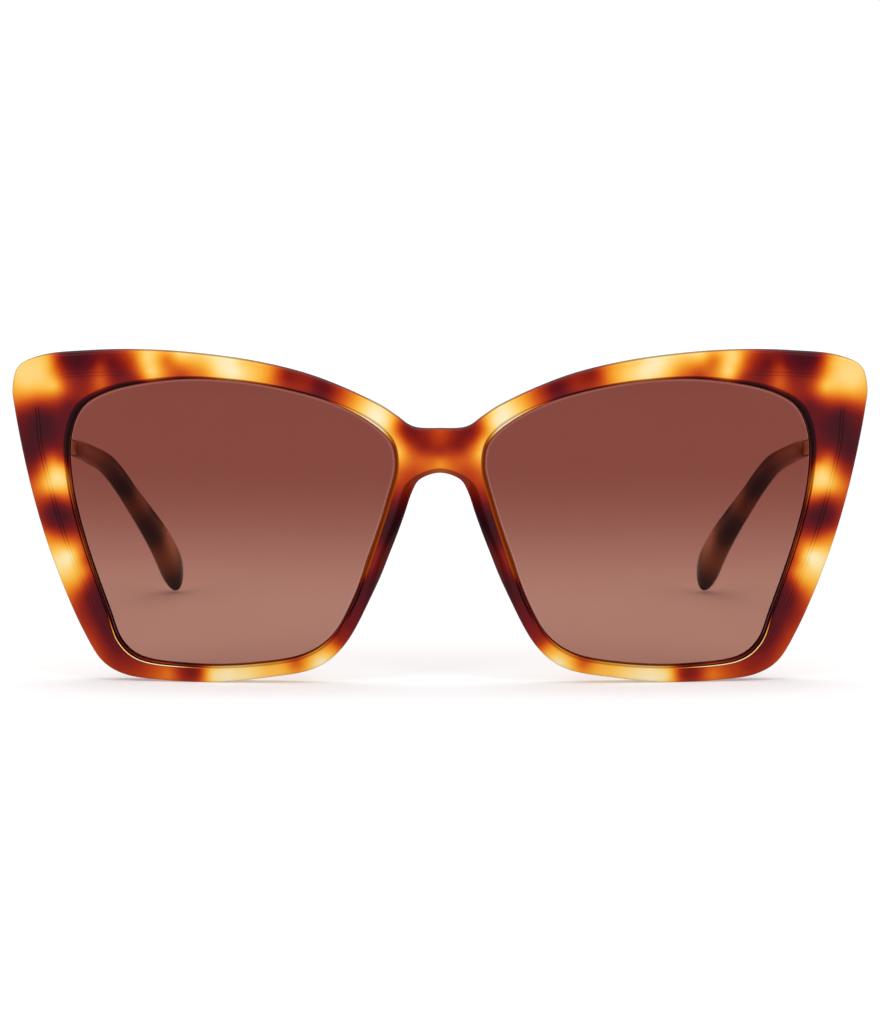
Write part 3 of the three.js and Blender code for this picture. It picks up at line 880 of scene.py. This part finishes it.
def rounded_section(thickness, height, rounding, corner_steps=4):
    """A rounded rectangle round the origin, as across and up."""
    points = []
    for k, (sx, sy) in enumerate(((1, 1), (-1, 1), (-1, -1), (1, -1))):
        for step in range(corner_steps + 1):
            angle = math.radians(90) * (k + step / corner_steps)
            points.append((
                sx * (thickness / 2 - rounding) + rounding * math.cos(angle),
                sy * (height / 2 - rounding) + rounding * math.sin(angle),
            ))
    return np.array(points)


def swept(curve, shares, section_at):
    """Sweeps a section along a curve; returns points and faces, closed at both ends."""
    place, along = along_curve(curve, shares)
    across = np.array([1.0, 0, 0]) - along * along[:, :1]
    across /= np.linalg.norm(across, axis=1)[:, None]
    up = np.cross(across, along)
    verts = []
    for i, share in enumerate(shares):
        section = section_at(share)
        verts.append(place[i] + section[:, :1] * across[i] + section[:, 1:] * up[i])
    n = len(verts[0])
    ends = [tuple(range(n)), tuple(range((len(shares) - 1) * n, len(shares) * n))]
    return np.concatenate(verts), ring_faces(len(shares), n) + ends


def in_row_frame(points, sign):
    return (points + (0, FACE_Y, 0)) * (sign, 1, 1)


def end_shares(start, end, bevel, steps):
    return [start, start + bevel / 2, start + bevel, *np.linspace(start, end, steps)[1:-1], end - bevel,
            end - bevel / 2, end]


arm_curve = bezier(ARM_LINE)
tip_curve = centripetal(TIP_LINE, False)


def arm_piece(side):
    def section(share):
        edge = min(share, 1 - share) / ARM["end"]
        inset = ARM["inset"] * (1 - math.sqrt(1 - (1 - min(edge, 1)) ** 2))
        thickness, height = ARM["thickness"] - 2 * inset, ARM["height"] - 2 * inset
        return rounded_section(thickness, height, ARM["rounding"] - inset)

    bar, bar_faces = swept(arm_curve, end_shares(0, 1, ARM["end"], 60), section)
    wire = rounded_section(CORE["thickness"], CORE["height"], CORE["rounding"])
    core, core_faces = swept(tip_curve, np.linspace(-CORE["root"], CORE["share"], 50), lambda share: wire)
    faces = bar_faces + [tuple(v + len(bar) for v in face) for face in core_faces]
    add_piece(
        f"gold_arm_{side}", in_row_frame(np.concatenate([bar, core]), SIDES[side]), faces, gold,
        f"{side}_temple", [f"temple_arm_{side}"], sharp_angle=50,
    )


def tip_section(share):
    places, *sizes = np.array(TIP_SECTIONS).T
    blur = np.linspace(-1, 1, 5) * min(TIP["blur"], share / 2, (1 - share) / 2)
    half, tall, lift = (np.interp(share + blur, places, size).mean() for size in sizes)
    turn = np.linspace(0, 2 * math.pi, TIP["sides"], endpoint=False)
    across, up = (np.sign(v) * np.abs(v) ** TIP["bluntness"] for v in (np.cos(turn), np.sin(turn)))
    return np.stack([across * half, up * tall + lift], axis=1)


def tip_piece(side):
    shares = np.unique(np.concatenate([
        np.linspace(0, 0.02, 6), np.linspace(0.02, 0.9, 80), 1 - 0.1 * np.linspace(1, 0, 24) ** 1.5,
    ]))
    points, faces = swept(tip_curve, shares, tip_section)
    n = len(points) // len(shares)
    along = np.repeat(shares, n)
    around = np.tile(np.linspace(0, 2 * math.pi, n, endpoint=False), len(shares))
    spots = np.stack([along * TIP_LENGTH, np.sin(around) * TIP_WIDTH, np.cos(around) * TIP_WIDTH], axis=1)
    tone = tip_field(wandered(spots, WANDER["tip"]))
    add_piece(
        f"tortoise_tip_{side}", in_row_frame(points, SIDES[side]), faces, dark_tortoise,
        f"{side}_temple", [f"temple_tip_{side}"],
        {"tone": tone, "edge": np.zeros(len(points))},
    )


for side in SIDES:
    arm_piece(side)
    tip_piece(side)


# ---- hinges ----
def circle(radius, sides=32):
    turn = np.linspace(0, 2 * math.pi, sides, endpoint=False)
    return radius * np.stack([np.cos(turn), np.sin(turn)], axis=1)


def half_moon(radius, slot, side):
    """Half of a disc beside a straight slot."""
    start = math.asin(slot / 2 / radius)
    turn = np.linspace(start, math.pi - start, 20)
    return side * radius * np.stack([np.cos(turn), np.sin(turn)], axis=1)


def lofted(outline, levels):
    """A solid on a flat outline; each level is how far in from the outline it is, and its height."""
    rings = [np.insert(grown(outline, -inset), 2, height, axis=1) for inset, height in levels]
    count = len(outline)
    ends = [tuple(range(count)), tuple(range(count * (len(rings) - 1), count * len(rings)))]
    return np.concatenate(rings), ring_faces(len(rings), count) + ends


def slab(outline, low, high, bevel):
    """A flat outline made thick, with rounded edges."""
    soft = [(bevel, 0), (bevel * 0.3, bevel * 0.3), (0, bevel)]
    levels = [(inset, low + rise) for inset, rise in soft]
    return lofted(outline, levels + [(inset, high - rise) for inset, rise in reversed(soft)])


def tube(middle, outer, inner, low, high):
    bevel = HINGE_BEVEL
    profile = [
        (outer - bevel, low), (outer, low + bevel), (outer, high - bevel), (outer - bevel, high),
        (inner + bevel, high), (inner, high - bevel), (inner, low + bevel), (inner + bevel, low),
    ]
    rings = [np.insert(circle(radius) + middle, 2, height, axis=1) for radius, height in profile]
    return np.concatenate(rings), ring_faces(len(rings), len(rings[0]), closed=True)


def slotted_head(radius, low, high):
    """A domed screw head with a straight slot across it, round the Z axis."""
    middle = low + (high - low) * 0.45
    levels = [(0, middle - 0.05), (0, middle), (0.04, middle + (high - middle) * 0.55), (0.18, high)]
    halves = [lofted(half_moon(radius, SLOT, side), levels) for side in (1, -1)]
    return [slab(circle(radius), low, middle, 0.06), *halves]


def combined(parts):
    """Joins parts, each as points and faces, into one."""
    verts, faces, count = [], [], 0
    for points, part_faces in parts:
        verts.append(points)
        faces += [tuple(v + count for v in face) for face in part_faces]
        count += len(points)
    return np.concatenate(verts), faces


def moved(parts, place):
    return [(place(points), faces) for points, faces in parts]


def on_back_face(points):
    """Turns points made with their height along Z onto the front's back, behind the hinge."""
    reach = FACE_RADIUS - THICKNESS
    angle = math.asin(PLATE["x"] / reach)
    turn = np.array(Matrix.Rotation(angle, 3, "Z"))
    return points[:, [0, 2, 1]] @ turn.T + (PLATE["x"], FACE_RADIUS - reach * math.cos(angle), 0)


def front_leaf_parts():
    outline = rounded_section(PLATE["width"], PLATE["height"], 1.2) + (0, HINGE["z"])
    plate = slab(outline, 0.02, PLATE_TOP, HINGE_BEVEL)
    parts = moved([plate], on_back_face)
    web_start = on_back_face(np.array([[0, 0, GAP]]))[0, 1]
    length = HINGE["y"] - HINGE_FIT["bore"] - WEB["clear"] - web_start
    for side in (-1, 1):
        level = HINGE["z"] + side * (HINGE["knuckle"] + GAP)
        low, high = level - HINGE_FIT["half"], level + HINGE_FIT["half"]
        parts.append(tube((HINGE["x"], HINGE["y"]), HINGE["knuckle_radius"], HINGE_FIT["bore"], low, high))
        web = rounded_section(WEB["front_width"], length, WEB["rounding"])
        web = web + (HINGE["x"], web_start + length / 2)
        parts.append(slab(web, low + 0.05, high - 0.05, HINGE_BEVEL))
    return parts


def temple_leaf_parts():
    low, high = HINGE["z"] - HINGE_FIT["half"], HINGE["z"] + HINGE_FIT["half"]
    knuckle = tube((HINGE["x"], HINGE["y"]), HINGE["knuckle_radius"], HINGE_FIT["bore"], low, high)
    start = HINGE_FIT["bore"] + WEB["clear"]
    width = LEAF["reach"] + WEB["overlap"] - start
    web = rounded_section(width, WEB["temple_width"], WEB["rounding"])
    web = web + (HINGE["x"] + start + width / 2, HINGE["y"])
    outside = HINGE["x"] + LEAF["reach"] + LEAF["thickness"] / 2
    root = np.array([outside, HINGE["y"] + LEAF["start"], HINGE["z"]])
    line = root + np.linspace(0, LEAF["length"], 9)[:, None] * along_curve(arm_curve, [0])[1]

    def section(share):
        inset = 1 - math.sqrt(1 - max(0, 1 - (1 - share) * LEAF["length"] / 1.1) ** 2)
        start_inset = 0.12 * max(0, 1 - share * LEAF["length"] / 0.2)
        height = LEAF["height"] * (1 - 0.8 * inset) - start_inset
        return rounded_section(LEAF["thickness"] - start_inset, height, 0.2 * (1 - 0.6 * inset))

    shares = np.concatenate([[0, 0.02], np.linspace(0.1, 0.85, 6), 1 - 0.11 * np.linspace(1, 0, 10) ** 2])
    return [knuckle, slab(web, low + 0.1, high - 0.1, HINGE_BEVEL), swept(line, shares, section)]


def pin_parts():
    top = HINGE["z"] + 1.5 * HINGE["knuckle"] + 2 * GAP
    shank = slab(circle(PIN["radius"]), HINGE["z"] - 1.5 * HINGE["knuckle"] - GAP, top, 0.12)
    parts = [shank, *slotted_head(PIN["head_radius"], top - 0.1, top + PIN["head_height"])]
    return moved(parts, lambda points: points + (HINGE["x"], HINGE["y"], 0))


def plate_screw_parts(side):
    top = 2 * GAP + PLATE["thickness"] + PLATE_SCREW["head_height"]
    shank = slab(circle(PLATE_SCREW["radius"], 16), top - 0.5 - PLATE_SCREW["length"], PLATE_TOP + 0.1, 0.1)
    parts = [shank, *slotted_head(PLATE_SCREW["head_radius"], PLATE_TOP + 0.01, top)]
    turn = np.array(Matrix.Rotation(math.radians(35 + 70 * side), 3, "Z"))
    lift = HINGE["z"] + side * PLATE_SCREW["spread"] / 2
    return moved(parts, lambda points: on_back_face(points @ turn.T + (0, lift, 0)))


def hinge_piece(name, parts, look, body, node, side):
    points, faces = combined(parts)
    add_piece(
        f"{name}_{side}", in_row_frame(points, SIDES[side]), faces, look, body,
        [f"{node}_{side}"], sharp_angle=40,
    )


for side in SIDES:
    hinge_piece("front_leaf", front_leaf_parts(), gold, "front", "hinge_front_leaf", side)
    hinge_piece("pin_screw", pin_parts(), steel, "front", "hinge_pin_screw", side)
    for level, name in ((-1, "lower"), (1, "upper")):
        hinge_piece(
            f"plate_screw_{name}", plate_screw_parts(level), steel, "front",
            f"hinge_leaf_screw_{name}", side,
        )
    hinge_piece(
        "temple_leaf", temple_leaf_parts(), gold, f"{side}_temple", "hinge_temple_leaf", side,
    )


# ---- stage, light and camera ----
def add_floor():
    mesh = bpy.data.meshes.new("floor")
    reach = FLOOR["reach"]
    corners = [(x * reach, y * reach, 0) for x, y in ((-1, -1), (1, -1), (1, 1), (-1, 1))]
    mesh.from_pydata(corners, [], [(0, 1, 2, 3)])
    look, nodes, links, shader = new_material("floor_white")
    shader.inputs["Base Color"].default_value = (*(FLOOR["albedo"],) * 3, 1)
    shader.inputs["Roughness"].default_value = 1.0
    shader.inputs["Specular IOR Level"].default_value = 0.0
    shader.inputs["Emission Color"].default_value = (1, 1, 1, 1)
    away = nodes.new("ShaderNodeVectorMath")
    away.operation = "LENGTH"
    links.new(object_place(nodes), away.inputs[0])
    glow = ranged(nodes, links, away.outputs["Value"], *FLOOR["glow"], *FLOOR["distances"])
    links.new(glow, shader.inputs["Emission Strength"])
    mesh.materials.append(look)
    floor = bpy.data.objects.new("floor", mesh)
    bpy.context.scene.collection.objects.link(floor)


def add_world():
    world = bpy.data.worlds.new("studio")
    bpy.context.scene.world = world
    world.use_nodes = True
    nodes, links = world.node_tree.nodes, world.node_tree.links
    parts = nodes.new("ShaderNodeSeparateXYZ")
    links.new(nodes.new("ShaderNodeTexCoord").outputs["Generated"], parts.inputs[0])
    strength = ranged(nodes, links, parts.outputs["Z"], *SKY["strength"], *SKY["heights"])
    ray = nodes.new("ShaderNodeLightPath")
    seen = nodes.new("ShaderNodeMix")
    links.new(ray.outputs["Is Camera Ray"], seen.inputs["Factor"])
    links.new(strength, seen.inputs["A"])
    seen.inputs["B"].default_value = SKY["backdrop"]
    links.new(seen.outputs["Result"], nodes["Background"].inputs["Strength"])
    nodes["Background"].inputs["Color"].default_value = (1, 1, 1, 1)


def add_area(name, place, aim, size, power):
    light = bpy.data.lights.new(name, "AREA")
    light.shape = "RECTANGLE"
    light.size, light.size_y = size
    light.energy = power
    lamp = bpy.data.objects.new(name, light)
    bpy.context.scene.collection.objects.link(lamp)
    lamp.location = place
    lamp.rotation_mode = "QUATERNION"
    lamp.rotation_quaternion = (Vector(aim) - Vector(place)).to_track_quat("-Z", "Y")


def add_camera():
    """The photograph's view: a long lens a little above the brow, aimed at the middle of the front."""
    data = bpy.data.cameras.new("camera")
    data.lens = CAMERA["lens"]
    data.sensor_width = 36
    data.clip_start, data.clip_end = 0.05, 20
    camera = bpy.data.objects.new("camera", data)
    bpy.context.scene.collection.objects.link(camera)
    eye = Vector((0, FACE_Y - CAMERA["distance"], CAMERA["height"])) * MM
    aim = Vector((0, FACE_Y, CAMERA["aim_height"])) * MM
    camera.location = eye
    camera.rotation_mode = "QUATERNION"
    camera.rotation_quaternion = (aim - eye).to_track_quat("-Z", "Y")
    bpy.context.scene.camera = camera


add_floor()
add_world()
for name, (place, aim, reach, power) in SOFTBOXES.items():
    add_area(name, place, aim, reach, power)
add_camera()
bpy.context.scene.view_settings.view_transform = "Standard"
